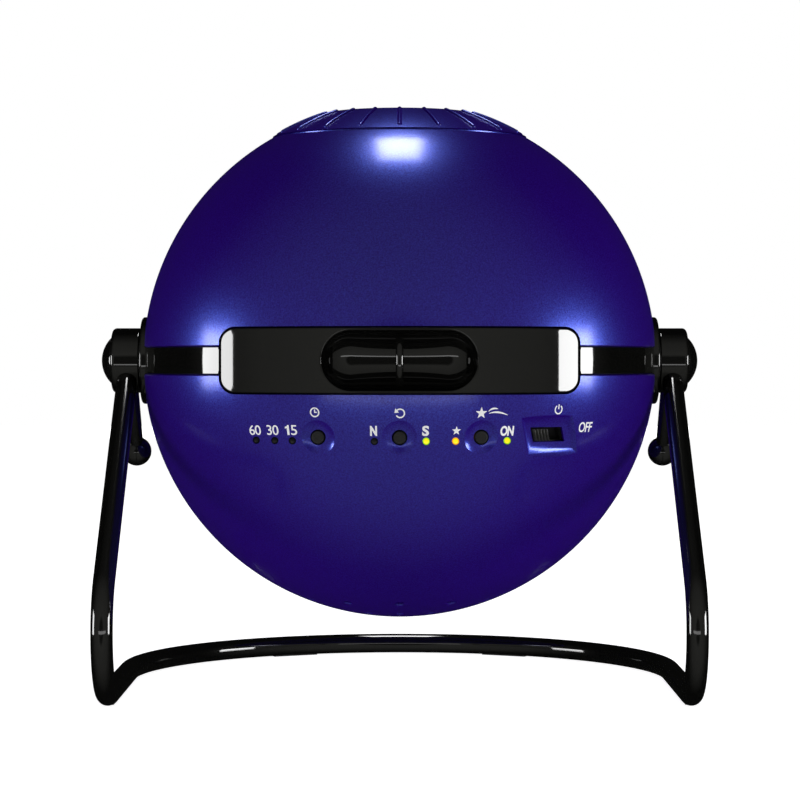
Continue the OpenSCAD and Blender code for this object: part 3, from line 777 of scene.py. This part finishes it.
def rib(turn):
    """One rib: a thin round bar that follows the dome, with round ends."""
    spine = [math.radians(rib_low + (rib_high - rib_low) * k / 28) for k in range(29)]
    rings = []
    stops = [(spine[0], -a) for a in (75, 50, 25)] + [(angle, 0) for angle in spine]
    stops += [(spine[-1], a) for a in (25, 50, 75)]
    for angle, round_end in stops:
        centre_r = dome_radius(math.degrees(angle)) - rib_sink
        along = angle + rib_r * math.sin(math.radians(round_end)) / centre_r
        thick = rib_r * math.cos(math.radians(round_end))
        rings.append([((centre_r + x) * math.cos(along), y, (centre_r + x) * math.sin(along))
                      for x, y in arc_points(thick, 0, 360, 20)[:-1]])
    return stack_rings("rib", rings, True, True, at_ball(Matrix.Rotation(turn, 4, "Z")))


ribs = join("focus_ribs", [rib(2 * math.pi * k / rib_count - math.pi / 2) for k in range(rib_count)])
smooth(ribs, 60)
for piece in (focus_cap, ribs):
    finish_with(piece, ball_blue)
    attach(piece, "focus")
    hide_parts("focus_ring")

# The stand is one round steel rod, bent and enamelled glossy black: down from each hub, round a
# bend at the front, straight back along the table, and round the back in a half circle.
rod_r = 2.875 * mm
rod_z = 3.025 * mm
leg_x = 75.8 * mm
leg_drop = math.radians(40.8)
bend_r = 17.4 * mm
bend_drop = ball_middle.z - rod_z - bend_r
bend_ahead = (bend_drop * math.cos(leg_drop) - bend_r) / math.sin(leg_drop)
leg_length = bend_ahead * math.cos(leg_drop) + bend_drop * math.sin(leg_drop)
leg_start = 5 * mm


def half_rod():
    """The rod's middle line on the right side, from the hub to the middle of the back."""
    line = [(leg_x, -t * math.cos(leg_drop), -t * math.sin(leg_drop))
            for t in (leg_start + (leg_length - leg_start) * k / 40 for k in range(40))]
    bend = arc_points(bend_r, 90 - math.degrees(leg_drop), -90, 48, (bend_ahead, -bend_drop))
    line += [(leg_x, -ahead, up) for ahead, up in bend]
    floor_z = rod_z - ball_middle.z
    line += [(leg_x, -bend_ahead * (1 - k / 20), floor_z) for k in range(1, 20)]
    line += [(x, y, floor_z) for x, y in arc_points(leg_x, 0, 90, 64)]
    return line


def tube(name, line, r):
    """A round bar along a line of points, as a curve of one open spline."""
    data = bpy.data.curves.new(name, "CURVE")
    data.dimensions = "3D"
    spline = data.splines.new("POLY")
    spline.points.add(len(line) - 1)
    for point, place in zip(spline.points, line):
        point.co = (*(ball_middle + Vector(place)), 1)
    spline.use_smooth = True
    data.bevel_depth = r
    data.bevel_resolution = 14
    data.use_fill_caps = True
    data.twist_mode = "MINIMUM"
    return add_object(name, data)


right_side = half_rod()
left_side = [(-x, y, z) for x, y, z in right_side[::-1]]
rod = tube("stand_tube", right_side + left_side[1:], rod_r)
enamel = gloss_black("black_enamel", rough=0.06)
finish_with(rod, enamel)
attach(rod, "stand")
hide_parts("stand_rod")

# Each hub is a turned-looking black moulding on the end of the rod, with a smaller domed cap over
# the pivot's head. They are polished like the plate.
hub_in = 72.3 * mm
hub_out = 80.3 * mm
hub_r = 9.05 * mm
hub_edge = 1.2 * mm
hub_inner_edge = 0.5 * mm
hub_bore = 2.6 * mm
cap_seat = hub_out - 0.3 * mm
cap_r = 6.6 * mm
cap_out = 83.4 * mm
dome_rise = 2.9 * mm
dome_r = (cap_r ** 2 + dome_rise ** 2) / (2 * dome_rise)
dome_start = 90 - math.degrees(math.asin(cap_r / dome_r))
hub_profile = [(hub_bore, hub_in)]
hub_profile += arc_points(hub_inner_edge, -90, 0, 5, (hub_r - hub_inner_edge, hub_in + hub_inner_edge))
hub_profile += arc_points(hub_edge, 0, 90, 12, (hub_r - hub_edge, hub_out - hub_edge))
hub_profile.append((hub_bore, hub_out))
cap_profile = [(0, cap_seat), (cap_r, cap_seat)]
cap_profile += arc_points(dome_r, dome_start, 90, 24, (0, cap_out - dome_r))[:-1]
cap_profile.append((0, cap_out))
for side, name in ((-1, "left"), (1, "right")):
    hub = spin("hub_" + name + "_turned", hub_profile, 128, True, sideways(side))
    smooth(hub, 40)
    finish_with(hub, polished_black)
    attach(hub, "stand")
    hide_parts("hub_" + name)
    cap = spin("hub_cap_" + name + "_turned", cap_profile, 128, False, sideways(side))
    smooth(cap, 40)
    finish_with(cap, polished_black)
    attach(cap, "stand")
    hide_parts("hub_cap_" + name)

# A thin steel arm leaves the back of each hub and ends in a black knob, which stops the ball from
# turning the lead round the stand.
arm_r = 2 * mm
knob_r = 4.2 * mm
arm_drop = math.radians(48.9)
arm_start = 6 * mm
arm_reach = 34.7 * mm
for side, name in ((-1, "left"), (1, "right")):
    start, end = [(side * leg_x, along * math.cos(arm_drop), -along * math.sin(arm_drop))
                  for along in (arm_start, arm_reach)]
    arm = tube("arm_" + name + "_bar", [start, end], arm_r)
    finish_with(arm, enamel)
    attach(arm, "stand")
    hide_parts("rear_arm_" + name)
    knob = spin("arm_knob_" + name + "_ball", arc_points(knob_r, -90, 90, 40), 64, False,
                at_ball(Matrix.Translation(end)))
    smooth(knob, 60)
    finish_with(knob, polished_black)
    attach(knob, "stand")
    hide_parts("arm_knob_" + name)

# Rubber feet are pressed into flats on the rod's underside, and stand out a little under it. They
# keep the solids' shape, and only get their matt finish here.


def plain(name, colour, rough, metal=0.0, grain=0.12, scale=1500):
    """A fine-grained moulded, cast or plated finish."""
    made, nodes, links = new_material(name)
    shader = add_node(nodes, "BsdfPrincipled", {"Metallic": metal, "Roughness": rough})
    grains = place_group(nodes, fleck, {"Scale": scale, "Strength": grain, "Colour": (*colour, 1)})
    links.new(grains.outputs["Color"], shader.inputs["Base Color"])
    uneven = add_node(nodes, "Bump", {"Strength": 0.2, "Distance": 0.03 * mm})
    links.new(grains.outputs["Grain"], uneven.inputs["Height"])
    links.new(uneven.outputs[0], shader.inputs["Normal"])
    put_out(shader, nodes, links)
    return made


def keep(material, slot, *names):
    """CAD nodes that stay as they are, in a finish."""
    for name in names:
        finish_with(frame["nodes"][name], material)


keep(plain("foot_rubber", (0.02, 0.02, 0.02), 0.8), "rubber_black", "foot_pads")

# The three push buttons are dark grey rubber-like caps on stems, each standing in the middle of its
# dish in the lower shell. Their faces are finely textured.
key_rubber = plain("key_rubber", (0.015, 0.015, 0.015), 0.7, 0, 0.5, 2600)
button_r = 1.66 * mm
button_ease = 0.3 * mm
button_rise = 0.2 * mm
stem_end = 52.4 * mm
stem_flange_r = 3 * mm
stem_flange_top = stem_end + 1 * mm
for lon, key in zip(button_lons, ("timer", "move", "meteor")):
    spot = ball_point(lon, key_lat)
    face = -ball_point(lon, key_lat, ball_r - dish_depth).y + button_rise
    profile = [(0, stem_end), (stem_flange_r, stem_end)]
    profile += [(stem_flange_r, stem_flange_top), (button_r, stem_flange_top)]
    profile += arc_points(button_ease, 0, 90, 6, (button_r - button_ease, face - button_ease))
    profile += [(button_r * 0.5, face - 0.02 * mm), (0, face - 0.05 * mm)]
    button = spin(key + "_push_button", profile, 64, False, forwards(spot.x, spot.z))
    smooth(button, 35)
    finish_with(button, key_rubber)
    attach(button, key + "_key")
    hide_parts(key + "_button")

# The power slide is a moulded black thumb piece with upright ridges. It runs in the slanting slot
# at the bottom of its recess, over the switch's body.
slide_half = (2.5 * mm, 1.65 * mm)
slide_play = 0.35 * mm
slide_middle = slide_half[0] - slot_half[0] + slide_play
slide_low = -4.2 * mm
slide_top = -1.0 * mm
slide_ease = 0.12 * mm
ridge_count = 5
ridge_steps = 8
ridge_deep = 0.45 * mm
ridges = []
for k in range(ridge_count * ridge_steps + 1):
    x = slide_half[0] * (2 * k / (ridge_count * ridge_steps) - 1)
    ridges.append((x, slide_top - ridge_deep * (0.5 + 0.5 * math.cos(2 * math.pi * k / ridge_steps)) ** 2))
slide_rings = []
for y, sunk in ((-1, slide_ease), (-0.93, 0), (0, 0), (0.93, 0), (1, slide_ease)):
    outline = [(-slide_half[0], slide_low)] + [(x, z - sunk) for x, z in ridges]
    outline.append((slide_half[0], slide_low))
    lean = slot_lean * y * slide_half[1]
    slide_rings.append([(slide_middle + x - lean, y * slide_half[1], z) for x, z in outline])
thumb = stack_rings("power_thumb_slide", slide_rings, True, True, on_ball(switch_lon, key_lat))
smooth(thumb, 40)
finish_with(thumb, plain("slide_black", (0.018, 0.018, 0.017), 0.35, 0, 0.15))
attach(thumb, "power_slider")
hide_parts("power_knob")

# Small round lamps stand in holes in the lower shell. Three are lit and glow yellow in a coloured
# rim, and four are dark. Each is a clear rod that carries the light from the board behind the shell.
board_front = 49.6 * mm
lamp_sunk = 0.35 * mm
lamp_bulge = 0.12 * mm
core_r = 0.66 * mm


def lamp_parts(name, lons, r_in, r_out):
    """Rods from the board to just under the ball's surface, between two radii."""
    made = []
    for lon in lons:
        spot = ball_point(lon, lamp_lat)
        far_side = (abs(spot.x) + lamp_r) ** 2 + (abs(spot.z) + lamp_r) ** 2
        front = math.sqrt((ball_r - lamp_sunk) ** 2 - far_side)
        profile = [(r_in, board_front), (r_out, board_front)]
        for k in range(5):
            r = r_out - (r_out - r_in) * k / 4
            profile.append((r, front + lamp_bulge * (1 - (r / lamp_r) ** 2)))
        made.append(spin(name, profile, 40, r_in > 0, forwards(spot.x, spot.z)))
    return made


def mixed_colour(nodes, links, factor, first, second):
    """A blend of two colours by a factor that changes over the surface."""
    made = add_node(nodes, "Mix")
    made.data_type = "RGBA"
    made.inputs["A"].default_value = (*first, 1)
    made.inputs["B"].default_value = (*second, 1)
    links.new(factor, made.inputs["Factor"])
    return made.outputs["Result"]


def glowing(name, colour, strength, rim_colour):
    """A lit lamp's end, whose glow is slightly uneven."""
    made, nodes, links = new_material(name)
    shader = add_node(nodes, "BsdfPrincipled", {"Base Color": (*rim_colour, 1), "Roughness": 0.25,
                                                "Emission Strength": strength})
    place = add_node(nodes, "TexCoord")
    cloud = add_node(nodes, "TexNoise", {"Scale": 700})
    links.new(place.outputs["Object"], cloud.inputs["Vector"])
    glow = mixed_colour(nodes, links, cloud.outputs[0], colour, [0.9 * c for c in colour])
    links.new(glow, shader.inputs["Emission Color"])
    put_out(shader, nodes, links)
    return made


cores = join("lit_lamp_cores", lamp_parts("core", lit_lamps, 0, core_r))
green_rims = join("green_lamp_rims", lamp_parts("rim", (lit_lamps[0], lit_lamps[2]), core_r, lamp_r))
orange_rims = join("orange_lamp_rim", lamp_parts("rim", lit_lamps[1:2], core_r, lamp_r))
for piece, material in ((cores, glowing("lamp_yellow", (1, 0.83, 0), 0.95, (0.5, 0.4, 0.02))),
                        (green_rims, glowing("lamp_rim_green", (0.42, 0.78, 0.01), 0.9, (0.2, 0.4, 0.02))),
                        (orange_rims, glowing("lamp_rim_orange", (1, 0.42, 0.01), 0.9, (0.5, 0.2, 0.02)))):
    smooth(piece, 30)
    finish_with(piece, material)
    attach(piece, "ball")
    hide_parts("lamps_lit")
unlit = join("dark_lamp_lenses", lamp_parts("lens", dark_lamps, 0, lamp_r))
smooth(unlit, 30)
finish_with(unlit, gloss_black("dark_lens", 0.001, 0.35, 0))
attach(unlit, "ball")
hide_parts("lamps_dark")

# The marks by the keys are pad-printed in white: the timer's minutes, compass letters for the way
# the sky turns, ON and OFF, and small signs over the keys and the slide.
ink_proud = 0.03 * mm
ink_sunk = 0.05 * mm


def print_at(name, lon, lat, points, faces):
    """Lays a flat mark on the ball, from (x, y, outer) points in metres. Outer ones are the ink's face."""
    turn = at_ball(outward(lon, lat))
    placed = []
    for x, y, outer in points:
        r = ball_r + (ink_proud if outer else -ink_sunk)
        placed.append(turn @ Vector((x, y, math.sqrt(r * r - x * x - y * y))))
    return add_mesh(name, placed, faces)


def flat_shape(outlines):
    """Points and faces of thin solid marks from closed (x, y) outlines in millimetres."""
    points, faces = [], []
    for outline in outlines:
        base, count = len(points), len(outline)
        points += [(x * mm, y * mm, outer) for outer in (True, False) for x, y in outline]
        faces.append(tuple(range(base, base + count)))
        faces.append(tuple(range(base + 2 * count - 1, base + count - 1, -1)))
        faces += [(base + i, base + count + i, base + count + (i + 1) % count, base + (i + 1) % count)
                  for i in range(count)]
    return points, faces


def ribbon(line, widths):
    """Short pieces that follow a line, as wide at each of its points as given."""
    sides = []
    for k, (x, y) in enumerate(line):
        ahead = line[min(k + 1, len(line) - 1)]
        behind = line[max(k - 1, 0)]
        along = Vector((ahead[0] - behind[0], ahead[1] - behind[1])).normalized()
        half = widths[k] / 2
        sides.append(((x - along.y * half, y + along.x * half), (x + along.y * half, y - along.x * half)))
    return [[a, b, d, c] for (a, b), (c, d) in zip(sides, sides[1:])]


def stroke(line, width):
    """A ribbon of one width."""
    return ribbon(line, [width] * len(line))


def star(r):
    """A star of five points."""
    tips = [arc_points(r, 90 + 72 * k, 90 + 72 * k, 1)[0] for k in range(5)]
    notches = [arc_points(0.42 * r, 126 + 72 * k, 126 + 72 * k, 1)[0] for k in range(5)]
    return [point for pair in zip(tips, notches) for point in pair]


def print_text(words, lon, lat, width, height, bold, shift=0.0):
    """Figures or letters of a width and height in millimetres, shifted sideways from their place."""
    name = "mark_" + words.lower()
    data = bpy.data.curves.new(name, "FONT")
    data.body = words
    data.offset = bold
    data.extrude = 0.1
    data.resolution_u = 4
    data.space_character = 0.92
    written = add_object(name, data)
    bpy.context.view_layer.update()
    flat = bpy.data.meshes.new_from_object(written.evaluated_get(bpy.context.evaluated_depsgraph_get()))
    bpy.data.objects.remove(written)
    low = [min(v.co[i] for v in flat.vertices) for i in (0, 1)]
    high = [max(v.co[i] for v in flat.vertices) for i in (0, 1)]
    points = [((v.co.x - (low[0] + high[0]) / 2) / (high[0] - low[0]) * width * mm + shift * mm,
               (v.co.y - (low[1] + high[1]) / 2) / (high[1] - low[1]) * height * mm, v.co.z > 0)
              for v in flat.vertices]
    return print_at(name, lon, lat, points, [tuple(f.vertices) for f in flat.polygons])


marks = [print_text("60", -32.78, -14.60, 3.65, 2.66, 0.006),
         print_text("30", -28.27, -14.54, 3.5, 2.66, 0.006),
         print_text("5", -23.82, -14.49, 1.75, 2.66, 0.006, 0.85),
         print_text("N", -5.52, -14.55, 1.8, 2.7, 0.05),
         print_text("S", 5.5, -14.55, 1.8, 2.75, 0.04),
         print_text("ON", 23.56, -14.66, 3.8, 2.7, 0.04),
         print_text("OFF", 44.70, -14.14, 5.1, 2.75, 0.012)]


def print_sign(name, lon, lat, outlines):
    """A sign that is drawn for this object, from closed outlines in millimetres."""
    marks.append(print_at("mark_" + name, lon, lat, *flat_shape(outlines)))


one = [(-1.12, -1.33), (-0.5, -1.33), (-0.5, 1.33), (-0.92, 1.33), (-1.1, 1.05), (-1.66, 0.82), (-1.66, 0.38),
       (-1.12, 0.48)]
print_sign("1", -23.82, -14.49, [one])
hands = stroke([(0, -0.1), (0, 0.75)], 0.3) + stroke([(-0.1, 0), (0.6, 0)], 0.3)
print_sign("clock", -18.03, -10.69, stroke(arc_points(1.12, 90, 450, 40), 0.34) + hands)
turn_line = arc_points(1.1, 140, -150, 36)
tip_x, tip_y = turn_line[0]
arrowhead = [(tip_x - 0.62, tip_y - 0.62), (tip_x + 0.52, tip_y - 0.5), (tip_x - 0.38, tip_y + 0.6)]
print_sign("turning", 0.11, -10.85, stroke(turn_line, 0.36) + [arrowhead])


def trail(start, bend, end):
    """A meteor's trail: a curved stroke that is thin at both ends."""
    line = [tuple(start[i] * (1 - t) ** 2 + 2 * bend[i] * t * (1 - t) + end[i] * t * t for i in (0, 1))
            for t in (k / 16 for k in range(17))]
    return ribbon(line, [0.1 + 0.36 * math.sin(math.pi * k / 16) for k in range(17)])


trails = trail((2.1, -0.1), (4.4, 0.7), (7.3, -0.65)) + trail((1.9, 0.42), (3.0, 1.55), (4.5, 1.05))
print_sign("meteor", 17.35, -10.85, [star(1.6)] + trails)
broken_ring = stroke(arc_points(1.12, 125, 415, 36), 0.34)
print_sign("power", 35.91, -10.24, broken_ring + stroke([(0, 0.1), (0, 1.35)], 0.34))
print_sign("star", 12.13, -14.57, [star(1.25)])
printed = join("printed_marks", marks)
finish_with(printed, plain("white_print", (0.98, 0.98, 1.0), 0.5, 0, 0.03))
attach(printed, "ball")

# The power inlet is a barrel socket in the back of the ball, and three screws in deep wells hold the
# shells together. The wells are moulded in the lower shell.
well_wall = 1.4 * mm
well_bore = 1.7 * mm
well_top = ball_r - shell_wall
well_low = well_top - 12 * mm
well_floor = well_low + 2 * mm
well_out = well_r + well_wall
well_profile = [(well_bore, well_low), (well_out, well_low), (well_out, well_top + 0.3 * mm),
                (well_r, well_top + 0.6 * mm), (well_r, well_floor), (well_bore, well_floor)]
wells = [spin("well", well_profile, 48, True, at_ball(outward(lon, well_lat))) for lon in well_lons]
screw_wells = join("screw_wells", wells)
smooth(screw_wells, 30)
finish_with(screw_wells, ball_blue)
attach(screw_wells, "ball")
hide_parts("bottom_shell")
moulded_black = plain("moulded_black", (0.012, 0.012, 0.012), 0.45)
bright_steel = plain("bright_steel", (0.56, 0.56, 0.58), 0.28, 1, 0.1)
keep(moulded_black, "black_inner", "power_inlet", "power_switch", "tact_switches")
keep(bright_steel, "steel", "shell_screws", "chassis_screws", "pivot_shafts", "friction_washers",
     "retaining_clips")

# The lens stack sits in a black barrel that three pins carry in the focus ring's grooves. The front
# element has an eased edge, and a thin black ring holds it in the barrel.
lens_glass, nodes, links = new_material("lens_glass")
shader = add_node(nodes, "BsdfPrincipled", {"Base Color": (0.97, 0.98, 1, 1), "IOR": 1.52,
                                            "Transmission Weight": 1})
smear = place_group(nodes, haze, {"Scale": 90, "Low": 0, "High": 0.03})
links.new(smear.outputs["Roughness"], shader.inputs["Roughness"])
put_out(shader, nodes, links)
lens_r = 15.8 * mm
lens_edge = 1.6 * mm
lens_ease = 0.15 * mm
lens_bulge = 3 * mm
lens_low = 57.4 * mm
lens_curve = (lens_r ** 2 + lens_bulge ** 2) / (2 * lens_bulge)
lens_centre = lens_low + lens_edge + lens_bulge - lens_curve
lens_angle = 90 - math.degrees(math.asin((lens_r - lens_ease) / lens_curve))
lens_profile = [(0, lens_low), (lens_r - lens_ease, lens_low), (lens_r, lens_low + lens_ease),
                (lens_r, lens_low + lens_edge - 0.1 * mm)]
lens_profile += arc_points(lens_curve, lens_angle, 90, 48, (0, lens_centre))[:-1]
lens_profile.append((0, lens_centre + lens_curve))
front_glass = spin("front_glass", lens_profile, 160, False, at_ball())
smooth(front_glass, 30)
finish_with(front_glass, lens_glass)
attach(front_glass, "barrel")
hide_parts("front_lens")
retainer_in = 14.4 * mm
retainer_out = 15.9 * mm
retainer_low = 60.6 * mm
retainer_top = 61.8 * mm
ring_profile = [(retainer_in, retainer_low), (retainer_out, retainer_low)]
ring_profile += [(retainer_out, retainer_top - 0.2 * mm), (retainer_out - 0.2 * mm, retainer_top)]
ring_profile += [(retainer_in + 0.5 * mm, retainer_top), (retainer_in, retainer_top - 0.5 * mm)]
retainer = spin("retaining_ring", ring_profile, 160, True, at_ball())
smooth(retainer, 30)
finish_with(retainer, moulded_black)
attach(retainer, "barrel")
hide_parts("lens_retainer")
keep(lens_glass, "lens_clear", "middle_lens", "rear_lens", "condenser_lens_small", "condenser_lens_large",
     "lamp_led")
keep(moulded_black, "black_inner", "lens_barrel", "lens_holder", "lens_bridge", "chassis_plate",
     "condenser_holder", "meteor_lamp")

# The star disc is a photographic film, black with clear points for stars. A clamp ring holds it on
# a white rotor, whose ring of teeth the motor's pinion turns in the pull-out tray.
film, nodes, links = new_material("star_film")
shader = add_node(nodes, "BsdfPrincipled", {"Roughness": 0.12})
place = add_node(nodes, "TexCoord")
cells = add_node(nodes, "TexVoronoi", {"Scale": 700})
links.new(place.outputs["Object"], cells.inputs["Vector"])
speck = add_node(nodes, "MapRange", {"From Min": 0.10, "From Max": 0.16, "To Min": 1, "To Max": 0})
links.new(cells.outputs["Distance"], speck.inputs["Value"])
sky = mixed_colour(nodes, links, speck.outputs[0], (0.008, 0.008, 0.012), (0.75, 0.75, 0.7))
links.new(sky, shader.inputs["Base Color"])
put_out(shader, nodes, links)
keep(film, "star_film", "star_disc")
keep(moulded_black, "black_inner", "disc_tray", "disc_clamp")
keep(plain("gear_white", (0.76, 0.75, 0.70), 0.4, 0, 0.05), "gear_white", "disc_rotor", "drive_pinion")

# The lamp under the disc is one bright diode on a small white board, on a finned alloy sink. The
# motor is a steel can, and the control board behind the keys is green.
keep(plain("sink_alloy", (0.62, 0.62, 0.63), 0.38, 1, 0.12), "heat_sink_alloy", "heat_sink")
keep(plain("board_white", (0.8, 0.8, 0.78), 0.5, 0, 0.05), "lamp_board_white", "lamp_board")
keep(plain("board_green", (0.02, 0.16, 0.05), 0.35, 0, 0.2), "board_green", "control_board")
keep(bright_steel, "steel", "motor")
